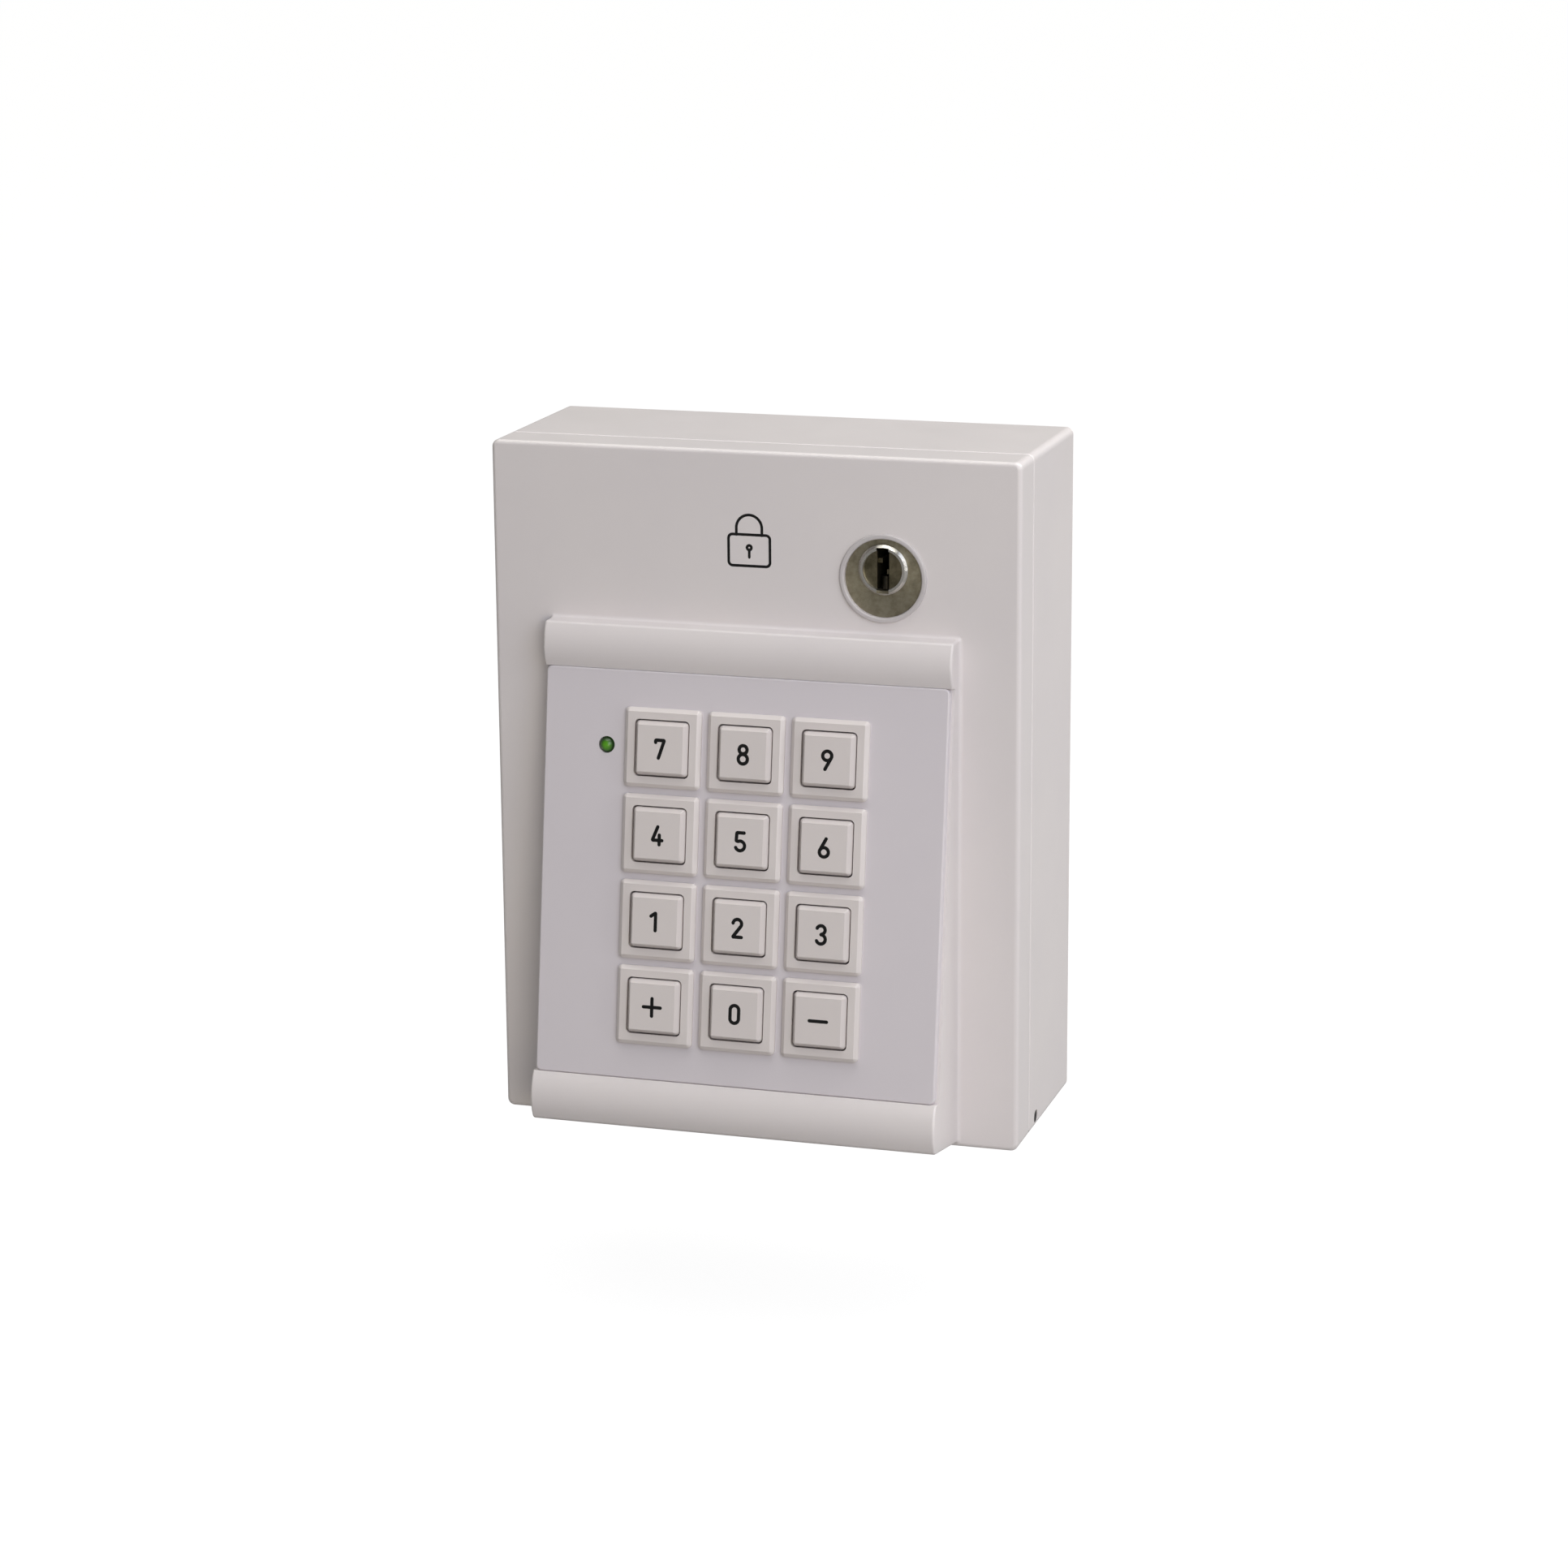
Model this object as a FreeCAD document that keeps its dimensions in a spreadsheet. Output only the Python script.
import FreeCAD, Part
import os
import Sketcher
from FreeCAD import Vector

# Alarm keypad panel for a wall, in millimetres.
# Frame: +X right, +Z up, the front faces -Y. The origin is the middle of the wall face.
# The keypad pieces are drawn flat (x right, y up the plate, z out of the plate)
# and then laid on the tilted plate by their Placement.

doc = FreeCAD.newDocument("alarm_keypad_panel")

SIZES = [
    ("box_width", 120, "outer width"),
    ("box_height", 154, "outer height"),
    ("box_depth", 48, "wall to the flat front"),
    ("cover_depth", 11, "depth of the front cover's rim"),
    ("parting_gap", 0.3, "between base and cover"),
    ("lip_depth", 2, "cover's lip inside the base"),
    ("lip_thickness", 1.2, "cover's lip"),
    ("lip_gap", 0.25, "between the lip and the base's wall"),
    ("wall", 2.5, "moulded wall"),
    ("front_round", 1, "round of the cover's front edge"),
    ("side_round", 1.6, "round of the box's long corners"),
    ("rim_round", 0.4, "round of both parting rims"),
    ("console_width", 93, "raised keypad console"),
    ("console_round", 0.5, "round of the console's ends"),
    ("console_root", 0.8, "hollow round where the console meets the cover"),
    ("plate_tilt", 8.1, "plate from upright, degrees"),
    ("plate_rise", 12, "plate surface in front of the cover, at the grid's middle"),
    ("plate_length", 90.6, "keypad plate, along the slope"),
    ("plate_thickness", 2, "keypad plate"),
    ("plate_margin", 0.6, "plate's side inside the console's side"),
    ("plate_corner", 1.2, "corner round of the plate"),
    ("plate_ledge", 2.2, "ledge under each end of the plate"),
    ("seat_gap", 0.05, "play round a piece laid in a seat"),
    ("plate_proud", 0.3, "plate in front of the upper roll's end"),
    ("roll_radius", 10, "rolls above and below the plate"),
    ("upper_roll", 9.8, "upper roll's length along the slope"),
    ("lower_roll", 11, "lower roll's length along the slope"),
    ("roll_crown", 0.55, "upper roll's top end in front of the plate's surface"),
    ("roll_step", 0.3, "lower roll's top end in front of the plate's surface"),
    ("roll_tuck", 0.55, "lower roll's foot behind the plate's surface"),
    ("roll_top_round", 0.8, "upper roll's turn into the console's top"),
    ("roll_foot_round", 1.5, "lower roll's turn into the console's underside"),
    ("underside_fall", 3.6, "how far the console's underside falls towards the cover"),
    ("grid_x", 0.8, "middle of the key grid, right of the panel's middle"),
    ("grid_up", 60.4, "middle of the key grid, above the box's foot"),
    ("key_pitch", 19.05, "keyswitch raster"),
    ("bezel_lap", 1.45, "key frame's lap over the plate round the switch body"),
    ("bezel_rise", 1.5, "key frame above the plate"),
    ("bezel_edge", 0.85, "slope round the key frame"),
    ("bezel_corner", 1, "corner round of the key frame"),
    ("switch_wall", 1, "wall of the switch body round the key's well"),
    ("switch_depth", 8, "switch body below the plate's surface"),
    ("switch_floor", 2, "floor of the switch body"),
    ("cap_size", 12, "square key cap"),
    ("cap_gap", 0.3, "all round the key cap"),
    ("cap_rise", 2.7, "key cap above the plate"),
    ("cap_skirt", 3, "key cap below the plate's surface"),
    ("cap_wall", 1.3, "key cap's wall"),
    ("cap_slope", 0.85, "slope round the cap's face, inwards"),
    ("cap_slope_height", 1.5, "slope round the cap's face, downwards"),
    ("cap_roof", 2, "key cap's top"),
    ("cap_corner", 0.9, "corner round of the cap"),
    ("key_travel", 1.6, "how far a key goes in"),
    ("board_thickness", 1.6, "printed boards"),
    ("pin_length", 2.6, "switch pin behind the switch body"),
    ("pin_radius", 0.4, "switch pin"),
    ("pin_spread", 2.54, "switch pins either side of the key's middle"),
    ("pin_drop", 4.5, "switch pins below the key's middle"),
    ("spring_turns", 5, "key spring"),
    ("spring_radius", 1.9, "key spring, middle of the wire"),
    ("spring_wire", 0.22, "key spring's wire radius"),
    ("lamp_radius", 1.75, "status lamp"),
    ("lamp_gap", 0.1, "round the status lamp"),
    ("lamp_sink", 1, "middle of the lamp's dome below the plate's surface"),
    ("lamp_depth", 5, "lamp's foot below the plate's surface"),
    ("lamp_flange", 0.4, "lamp's foot flange, outwards"),
    ("lamp_flange_depth", 1, "lamp's foot flange"),
    ("lamp_offset", 13.2, "lamp left of the left key column"),
    ("lead_spread", 1.27, "lamp's leads either side of its middle"),
    ("lead_radius", 0.25, "lamp's leads"),
    ("board_play", 2, "between the keypad board and the console's walls"),
    ("board_short", 4.3, "keypad board's end inside the plate's end"),
    ("spacer_inset", 4.5, "board spacers from the keypad board's sides"),
    ("spacer_radius", 2.6, "board spacers"),
    ("lock_x", 29.5, "lock, right of the panel's middle"),
    ("lock_drop", 26.5, "lock's middle below the box's top"),
    ("lock_radius", 8.6, "lock cylinder"),
    ("lock_length", 17.6, "lock cylinder"),
    ("lock_recess", 0.4, "lock's face behind the cover's front"),
    ("trim_width", 1.2, "ring round the lock"),
    ("trim_rise", 0.6, "ring in front of the cover"),
    ("plug_margin", 1.15, "between the plug's rim and the cylinder's side"),
    ("plug_radius", 4.75, "turning plug"),
    ("plug_gap", 0.06, "running gap round the plug"),
    ("plug_rim", 5.55, "plug's front rim"),
    ("plug_rim_depth", 1.1, "plug's front rim"),
    ("plug_rim_gap", 0.1, "between the plug's rim and the cylinder's face"),
    ("plug_lip", 1.15, "bright lip round the plug's dished face"),
    ("plug_dish", 0.7, "plug's dished face behind its lip"),
    ("keyway_width", 2.7, "key slot"),
    ("keyway_depth", 13, "key slot"),
    ("keyway_top", 4.9, "key slot's upper end above the plug's middle"),
    ("keyway_foot", 5.1, "key slot's lower end below the plug's middle"),
    ("ward_reach", 0.85, "ribs that stand into the key slot"),
    ("ward_height", 1, "ribs in the key slot"),
    ("left_ward_up", 1.3, "left rib's foot above the plug's middle"),
    ("right_ward_down", 1.1, "right rib's foot below the plug's middle"),
    ("ward_recess", 0.9, "ribs' front behind the lock's face"),
    ("tumbler_foot", 4.55, "pins' foot below the plug's middle"),
    ("tumbler_first", 2.2, "first pin behind the lock's face"),
    ("tumbler_pitch", 2.3, "from pin to pin"),
    ("plug_bevel", 0.6, "bevel of the plug's front rim"),
    ("tumbler_radius", 1.1, "pins in the key slot"),
    ("tail_reach", 0.5, "plug behind the cylinder's end"),
    ("cam_screw_radius", 2, "cam screw's shank"),
    ("cam_screw_grip", 5, "cam screw in the plug"),
    ("cam_thickness", 1.5, "lock cam"),
    ("cam_reach", 17, "cam's tip from the plug's middle"),
    ("cam_width", 10, "lock cam"),
    ("cam_corner", 4.5, "corner round of the cam"),
    ("cam_head", 3.6, "cam screw's head"),
    ("cam_head_rise", 2.2, "cam screw's head"),
    ("cam_screw_short", 0.5, "cam screw's end before the bottom of its hole"),
    ("keep_gap", 0.5, "cam behind the keep"),
    ("keep_width", 16, "keep"),
    ("keep_thickness", 1.5, "keep's plate"),
    ("keep_clear", 1.4, "keep's hook above the lock cylinder"),
    ("keep_foot", 12, "keep's foot along the top wall"),
    ("nut_thickness", 3, "lock nut"),
    ("nut_wall", 2.4, "lock nut at its flats"),
    ("hinge_inset", 6.2, "hinge pin behind the base's rim"),
    ("hinge_lift", 2.6, "hinge pin above the bottom face"),
    ("hinge_radius", 1.5, "hinge pin"),
    ("hinge_gap", 0.08, "running gap round the hinge pin"),
    ("hinge_pin_recess", 0.2, "hinge pin's end inside the side face"),
    ("hinge_relief", 1.5, "bevel of the base's lower rim, which the cover swings past"),
    ("ear_wall", 0.8, "cover's hinge ear round its pin"),
    ("ear_width", 4, "cover's hinge ear"),
    ("ear_gap", 0.35, "round the hinge ear"),
    ("screw_spacing_x", 90, "wall screw holes"),
    ("screw_spacing_z", 124, "wall screw holes"),
    ("screw_hole", 2.5, "wall screw hole radius"),
    ("inlet_z", 40, "cable inlet in the back"),
    ("inlet_radius", 7, "cable inlet in the back"),
    ("grommet_bore", 5, "grommet's bore radius"),
    ("grommet_flange", 9, "grommet's flange radius"),
    ("standoff", 5.5, "terminal board above the back wall"),
    ("standoff_radius", 3, "board standoff"),
    ("board_width", 84, "terminal board"),
    ("board_height", 60, "terminal board"),
    ("board_z", -30, "terminal board's middle"),
    ("board_inset", 5, "board screws from the board's edges"),
    ("small_screw", 1.25, "board screw shank radius"),
    ("screw_head", 1.8, "board screw's head"),
    ("screw_grip", 6, "board screw's shank"),
    ("terminals", 10, "ways in the terminal block"),
    ("terminal_pitch", 5.08, "terminal block"),
    ("terminal_rise", 12, "terminal block"),
    ("terminal_end", 0.8, "terminal block's end wall"),
    ("terminal_height", 10, "terminal block"),
    ("terminal_margin", 2, "terminal block below the board's top edge"),
    ("terminal_well", 2, "screw well's radius"),
    ("well_depth", 4, "screw well"),
    ("well_rise", 5.5, "screw wells above the block's foot"),
    ("clamp_gap", 0.2, "round a clamp screw in its well"),
    ("clamp_depth", 1.5, "clamp screw below the block's face"),
    ("entry_radius", 1.6, "wire entry"),
    ("entry_depth", 5, "wire entry"),
    ("entry_rise", 4, "wire entry's middle above the board"),
    ("relay_width", 19, "relay"),
    ("relay_height", 16, "relay"),
    ("relay_rise", 14, "relay above the board"),
    ("relay_x", -26.5, "relay's middle"),
    ("chip_width", 16, "control chip"),
    ("chip_height", 8, "control chip"),
    ("chip_rise", 3.4, "control chip above the board"),
    ("chip_drop", 10, "chip's middle below the terminal board's middle"),
    ("buzzer_x", 26, "buzzer's middle"),
    ("buzzer_drop", 12, "relay's and buzzer's middle below the terminal board's middle"),
    ("buzzer_radius", 7, "buzzer"),
    ("buzzer_rise", 7, "buzzer above the board"),
    ("buzzer_port", 1, "buzzer's sound hole"),
    ("port_depth", 3, "buzzer's sound hole"),
    ("header_width", 20, "board headers"),
    ("header_height", 6, "board headers"),
    ("header_rise", 7, "board headers above their board"),
    ("header_up", 5, "header's middle above the terminal board's middle"),
    ("grommet_lip", 1.6, "grommet's flange"),
    ("grommet_recess", 0.2, "grommet's neck behind the wall face"),
    ("thread_gap", 0.05, "round a screw's thread"),
    ("tamper_x", -48, "tamper switch"),
    ("tamper_z", 52, "tamper switch"),
    ("tamper_width", 10, "tamper switch"),
    ("tamper_height", 8, "tamper switch"),
    ("tamper_post", 7.5, "tamper switch's post on the back wall"),
    ("tamper_length", 20, "tamper switch, front to back"),
    ("tamper_grip", 10, "tamper plunger inside its switch"),
    ("tamper_guide", 12, "bore of the tamper switch"),
    ("tamper_radius", 1.5, "tamper plunger"),
    ("tamper_gap", 0.06, "running gap round the tamper plunger"),
    ("tamper_reach", 0.2, "plunger's tip behind the base's rim"),
]

dims = doc.addObject("Spreadsheet::Sheet", "dims")
for row, (alias, number, meaning) in enumerate(SIZES, start=1):
    dims.set(f"A{row}", meaning)
    dims.set(f"B{row}", str(number))
    dims.setAlias(f"B{row}", alias)
doc.recompute()

# Cuts run this far past the face that they open.
PAST = "1"

# Places worked out from the sheet, as expressions for features and sketches.
HALF_W = "dims.box_width / 2"
HALF_H = "dims.box_height / 2"
INNER_W = "(dims.box_width / 2 - dims.wall)"
INNER_H = "(dims.box_height / 2 - dims.wall)"
COVER_BACK = "(dims.box_depth - dims.cover_depth)"
BASE_DEPTH = "(dims.box_depth - dims.cover_depth - dims.parting_gap)"
COVER_SKIN = "(dims.box_depth - dims.wall)"
PLATE_FRONT = "(dims.box_depth + dims.plate_rise)"
HINGE_Y = f"({BASE_DEPTH} - dims.hinge_inset)"
HINGE_Z = "(-dims.box_height / 2 + dims.hinge_lift)"
BOARD_BACK = "(dims.wall + dims.standoff)"
BOARD_FRONT = "(dims.wall + dims.standoff + dims.board_thickness)"
LOCK_FACE = "(dims.box_depth - dims.lock_recess)"
LOCK_END = "(dims.box_depth - dims.lock_recess - dims.lock_length)"
LOCK_TAIL = f"({LOCK_END} - dims.tail_reach)"
LOCK_Z = "(dims.box_height / 2 - dims.lock_drop)"
PLUG_Z = f"({LOCK_Z} + dims.lock_radius - dims.plug_rim - dims.plug_margin)"
GRID_Z = "(dims.grid_up - dims.box_height / 2)"
CAP_OPENING = "(dims.cap_size / 2 + dims.cap_gap)"
SWITCH_HALF = f"({CAP_OPENING} + dims.switch_wall)"
BEZEL_HALF = f"({SWITCH_HALF} + dims.bezel_lap)"
KEYPAD_BOARD_HALF = "(dims.console_width / 2 - dims.wall - dims.board_play)"
EAR_RADIUS = "(dims.hinge_radius + dims.ear_wall)"
TAMPER_BACK = "(dims.wall + dims.tamper_post)"
TAMPER_FRONT = f"({TAMPER_BACK} + dims.tamper_length)"


def value(expression):
    """The number that an expression over the sheet gives now."""
    return float(dims.evalExpression(expression))


def on_slope(along, out):
    """Y and Z, as expressions, of a point up the plate's slope and out of its surface."""
    y = f"(-{PLATE_FRONT} + ({along}) * sin(dims.plate_tilt) - ({out}) * cos(dims.plate_tilt))"
    z = f"({GRID_Z} + ({along}) * cos(dims.plate_tilt) + ({out}) * sin(dims.plate_tilt))"
    return y, z


def place(item, x="0", y="0", z="0", axis="1;0;0", angle="0"):
    """Bind an object's Placement to the sheet."""
    turn = f"rotation(vector({axis}); {angle})"
    item.setExpression("Placement", f"placement(vector({x}; {y}; {z}); {turn})")
    return item


def place_on_plate(item, x="0", along="0", out="0"):
    """Lay a flat-drawn object on the tilted plate; x is from the panel's middle."""
    y, z = on_slope(along, out)
    return place(item, x, y, z, "1;0;0", "90 - dims.plate_tilt")


# ---- sketches and features of a PartDesign body ----

def new_body(label):
    made = doc.addObject("PartDesign::Body", label)
    made.Label = label
    return made


def new_sketch(owner, name, role, offset="0"):
    """A sketch on one of the body's own origin planes, moved along the plane's normal."""
    sketch = owner.newObject("Sketcher::SketchObject", name)
    plane = [f for f in owner.Origin.OriginFeatures if f.Role == role][0]
    sketch.AttachmentSupport = [(plane, "")]
    sketch.MapMode = "FlatFace"
    sketch.setExpression("AttachmentOffset.Base.z", offset)
    return sketch


def pin_point(sketch, edge, end, x, y):
    """Fix a sketch point's two distances from the sketch's origin by expression."""
    for kind, expression in (("DistanceX", x), ("DistanceY", y)):
        number = value(expression)
        index = sketch.addConstraint(Sketcher.Constraint(kind, -1, 1, edge, end, number))
        sketch.setExpression(f"Constraints[{index}]", expression)


def add_outline(sketch, points):
    """A closed outline. A point (x, y) ends a straight run; (x, y, r) ends an arc of
    radius r, which bulges to the left of its chord when r is written with a minus."""
    spots = [Vector(value(p[0]), value(p[1]), 0) for p in points]
    first = sketch.GeometryCount
    count = len(points)
    for i, point in enumerate(points):
        start, end = spots[i - 1], spots[i]
        if len(point) == 2:
            sketch.addGeometry(Part.LineSegment(start, end), False)
            continue
        side = -1 if point[2].startswith("-") else 1
        radius = value(point[2].lstrip("-"))
        chord = end - start
        middle = (start + end) * 0.5
        right = Vector(chord.y, -chord.x, 0).normalize() * side
        sagitta = radius - (radius ** 2 - (chord.Length / 2) ** 2) ** 0.5
        sketch.addGeometry(Part.Arc(start, middle + right * sagitta, end), False)
    for i, point in enumerate(points):
        edge = first + i
        following = first + (i + 1) % count
        ends = arc_ends(sketch, edge, spots[i - 1])
        next_ends = arc_ends(sketch, following, spots[i])
        sketch.addConstraint(Sketcher.Constraint("Coincident", edge, ends[1], following, next_ends[0]))
        pin_point(sketch, edge, ends[1], point[0], point[1])
        if len(point) == 3:
            size = point[2].lstrip("-")
            index = sketch.addConstraint(Sketcher.Constraint("Radius", edge, value(size)))
            sketch.setExpression(f"Constraints[{index}]", size)


def arc_ends(sketch, edge, start):
    """Which end of a sketch edge (1 or 2) lies at start, and which is the other."""
    first = sketch.getPoint(edge, 1)
    return (1, 2) if first.distanceToPoint(start) < 1e-6 else (2, 1)


def add_box(sketch, left, right, low, high):
    add_outline(sketch, [(left, low), (right, low), (right, high), (left, high)])


def add_circle(sketch, x, y, radius):
    index = sketch.addGeometry(
        Part.Circle(Vector(value(x), value(y), 0), Vector(0, 0, 1), value(radius)), False
    )
    pin_point(sketch, index, 3, x, y)
    row = sketch.addConstraint(Sketcher.Constraint("Radius", index, value(radius)))
    sketch.setExpression(f"Constraints[{row}]", radius)


def add_pad(owner, sketch, length, reverse=False, both_ways=False):
    """Add material; the volume has to grow."""
    before = owner.Shape.Volume if owner.Tip and not owner.Shape.isNull() else 0
    pad = owner.newObject("PartDesign::Pad", sketch.Name + "_pad")
    pad.Profile = sketch
    pad.Reversed = reverse
    pad.Midplane = both_ways
    pad.setExpression("Length", length)
    doc.recompute()
    if owner.Shape.Volume <= before:
        raise RuntimeError(f"{pad.Name} adds nothing")
    return pad


def add_pocket(owner, sketch, length, reverse=False, both_ways=False):
    """Take material away; the volume has to shrink."""
    before = owner.Shape.Volume
    pocket = owner.newObject("PartDesign::Pocket", sketch.Name + "_pocket")
    pocket.Profile = sketch
    pocket.Reversed = reverse
    pocket.Midplane = both_ways
    pocket.setExpression("Length", length)
    doc.recompute()
    if owner.Shape.Volume >= before:
        raise RuntimeError(f"{pocket.Name} cuts nothing")
    return pocket


def dress(owner, kind, size, chosen):
    """Round or bevel the tip's edges for which chosen(bounding box) is true."""
    tip = owner.Tip
    names = [
        f"Edge{i}" for i, edge in enumerate(tip.Shape.Edges, start=1) if chosen(edge.BoundBox)
    ]
    if not names:
        raise RuntimeError(f"{owner.Label}: no edge to dress")
    feature = owner.newObject(f"PartDesign::{kind}", f"{owner.Name}_{kind.lower()}")
    feature.Base = (tip, names)
    feature.setExpression("Radius" if kind == "Fillet" else "Size", size)
    doc.recompute()
    return feature


def near(a, b):
    return abs(a - b) < 1e-4


# ---- Part primitives, for the plain pieces ----

def box(name, x0, y0, z0, x1, y1, z1):
    """A block between two corners."""
    made = doc.addObject("Part::Box", name)
    made.setExpression("Length", f"({x1}) - ({x0})")
    made.setExpression("Width", f"({y1}) - ({y0})")
    made.setExpression("Height", f"({z1}) - ({z0})")
    return place(made, x0, y0, z0)


TO_WALL = ("1;0;0", "-90")
TO_RIGHT = ("0;1;0", "90")
UPWARD = ("1;0;0", "0")


def rod(name, x, y, z, radius, length, direction=TO_WALL):
    """A cylinder from a point towards the wall (+Y), the right (+X) or up (+Z)."""
    made = doc.addObject("Part::Cylinder", name)
    made.setExpression("Radius", radius)
    made.setExpression("Height", length)
    return place(made, x, y, z, *direction)


def fuse(name, *shapes):
    made = doc.addObject("Part::MultiFuse", name)
    made.Shapes = list(shapes)
    return made


def cut(name, solid, *tools):
    tool = tools[0] if len(tools) == 1 else fuse(name + "_tools", *tools)
    made = doc.addObject("Part::Cut", name)
    made.Base = solid
    made.Tool = tool
    return made


def group(name, *shapes):
    """Separate solids that share one node."""
    made = doc.addObject("Part::Compound", name)
    made.Links = list(shapes)
    return made


def round_edges(name, solid, radius, chosen):
    """Part::Fillet on the edges for which chosen(bounding box) is true."""
    doc.recompute()
    made = doc.addObject("Part::Fillet", name)
    made.Base = solid
    size = value(radius)
    made.Edges = [
        (i, size, size) for i, edge in enumerate(solid.Shape.Edges, start=1) if chosen(edge.BoundBox)
    ]
    return made


def bevel_edges(name, solid, size, chosen):
    """Part::Chamfer on the edges for which chosen(bounding box) is true."""
    doc.recompute()
    made = doc.addObject("Part::Chamfer", name)
    made.Base = solid
    depth = value(size)
    made.Edges = [
        (i, depth, depth) for i, edge in enumerate(solid.Shape.Edges, start=1) if chosen(edge.BoundBox)
    ]
    return made


pieces = []


def keep(item):
    """Give a finished sub-part its Label and list it for export."""
    item.Label = item.Name
    pieces.append(item)
    return item


# ---- base housing ----

def base_housing():
    """Open-fronted box on the wall, with the board's standoffs and the tamper post."""
    base = new_body("base_housing")
    outer = new_sketch(base, "base_outer", "XZ_Plane")
    add_box(outer, f"-{HALF_W}", HALF_W, f"-{HALF_H}", HALF_H)
    add_pad(base, outer, BASE_DEPTH)
    depth = value(BASE_DEPTH)
    dress(base, "Fillet", "dims.side_round", lambda b: near(b.YLength, depth))
    dress(base, "Fillet", "dims.rim_round", lambda b: near(b.YMin, -depth) and near(b.YMax, -depth))
    cavity = new_sketch(base, "base_cavity", "XZ_Plane", "dims.wall")
    add_box(cavity, f"-{INNER_W}", INNER_W, f"-{INNER_H}", INNER_H)
    add_pocket(base, cavity, BASE_DEPTH, reverse=True)
    relief = new_sketch(base, "swing_relief", "YZ_Plane")
    rim, foot = f"-{BASE_DEPTH}", f"-{HALF_H}"
    add_outline(relief, [(rim, f"{foot} + dims.hinge_relief"), (f"{rim} - {PAST}", foot),
                         (rim, f"{foot} - {PAST}"), (f"{rim} + dims.hinge_relief", foot)])
    add_pocket(base, relief, "dims.box_width", both_ways=True)

    posts = new_sketch(base, "standoffs", "XZ_Plane", "dims.wall")
    for side in ("-", ""):
        for end in ("-", ""):
            x = f"{side}(dims.board_width / 2 - dims.board_inset)"
            z = f"dims.board_z + {end}(dims.board_height / 2 - dims.board_inset)"
            add_circle(posts, x, z, "dims.standoff_radius")
    add_pad(base, posts, "dims.standoff")
    bores = new_sketch(base, "standoff_bores", "XZ_Plane", BOARD_BACK)
    for side in ("-", ""):
        for end in ("-", ""):
            x = f"{side}(dims.board_width / 2 - dims.board_inset)"
            z = f"dims.board_z + {end}(dims.board_height / 2 - dims.board_inset)"
            add_circle(bores, x, z, "dims.small_screw + dims.thread_gap")
    add_pocket(base, bores, "dims.standoff")

    tamper = new_sketch(base, "tamper_post", "XZ_Plane", "dims.wall")
    add_box(tamper, "dims.tamper_x - dims.tamper_width / 2", "dims.tamper_x + dims.tamper_width / 2",
            "dims.tamper_z - dims.tamper_height / 2", "dims.tamper_z + dims.tamper_height / 2")
    add_pad(base, tamper, "dims.tamper_post")

    back = new_sketch(base, "back_holes", "XZ_Plane")
    for x in ("-dims.screw_spacing_x / 2", "dims.screw_spacing_x / 2"):
        for z in ("-dims.screw_spacing_z / 2", "dims.screw_spacing_z / 2"):
            add_circle(back, x, z, "dims.screw_hole")
    add_circle(back, "0", "dims.inlet_z", "dims.inlet_radius")
    add_pocket(base, back, "dims.wall", reverse=True)

    for name, side, away in (("left_hinge_hole", "-", True), ("right_hinge_hole", "", False)):
        hole = new_sketch(base, name, "YZ_Plane", f"{side}{HALF_W}")
        add_circle(hole, f"-{HINGE_Y}", HINGE_Z, "dims.hinge_radius + dims.hinge_gap")
        add_pocket(base, hole, "dims.wall", reverse=away)

    slots = new_sketch(base, "ear_slots", "XZ_Plane", f"{HINGE_Y} - {EAR_RADIUS} - dims.ear_gap")
    reach = "(dims.ear_width + 2 * dims.ear_gap)"
    low, high = f"-{HALF_H} - {PAST}", f"-{INNER_H} + {PAST}"
    add_box(slots, f"-{INNER_W}", f"-{INNER_W} + {reach}", low, high)
    add_box(slots, f"{INNER_W} - {reach}", INNER_W, low, high)
    add_pocket(base, slots, "dims.box_depth", reverse=True)
    return keep(base)


# ---- front cover with the keypad console ----

SEAT = "(dims.plate_length / 2 + dims.seat_gap)"
CONSOLE_TOP = on_slope(f"{SEAT} + dims.upper_roll", "dims.roll_crown")[1]
ROLL_FOOT = on_slope(f"-({SEAT} + dims.lower_roll)", "-dims.roll_tuck")
CONSOLE_FOOT = f"({ROLL_FOOT[1]} - dims.underside_fall)"


def console_outline():
    """Side outline (y, z) of the raised console, from its top at the cover to its foot."""
    inside = f"-(dims.box_depth - {PAST})"
    return [
        (inside, CONSOLE_TOP),
        on_slope(f"{SEAT} + dims.upper_roll", "dims.roll_crown"),
        (*on_slope(SEAT, "-dims.plate_proud"), "dims.roll_radius"),
        on_slope(SEAT, "-dims.plate_thickness"),
        on_slope(f"-{SEAT}", "-dims.plate_thickness"),
        on_slope(f"-{SEAT}", "dims.roll_step"),
        (*ROLL_FOOT, "dims.roll_radius"),
        (inside, CONSOLE_FOOT),
        (f"{inside} + {PAST}", GRID_Z),
    ]


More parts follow.
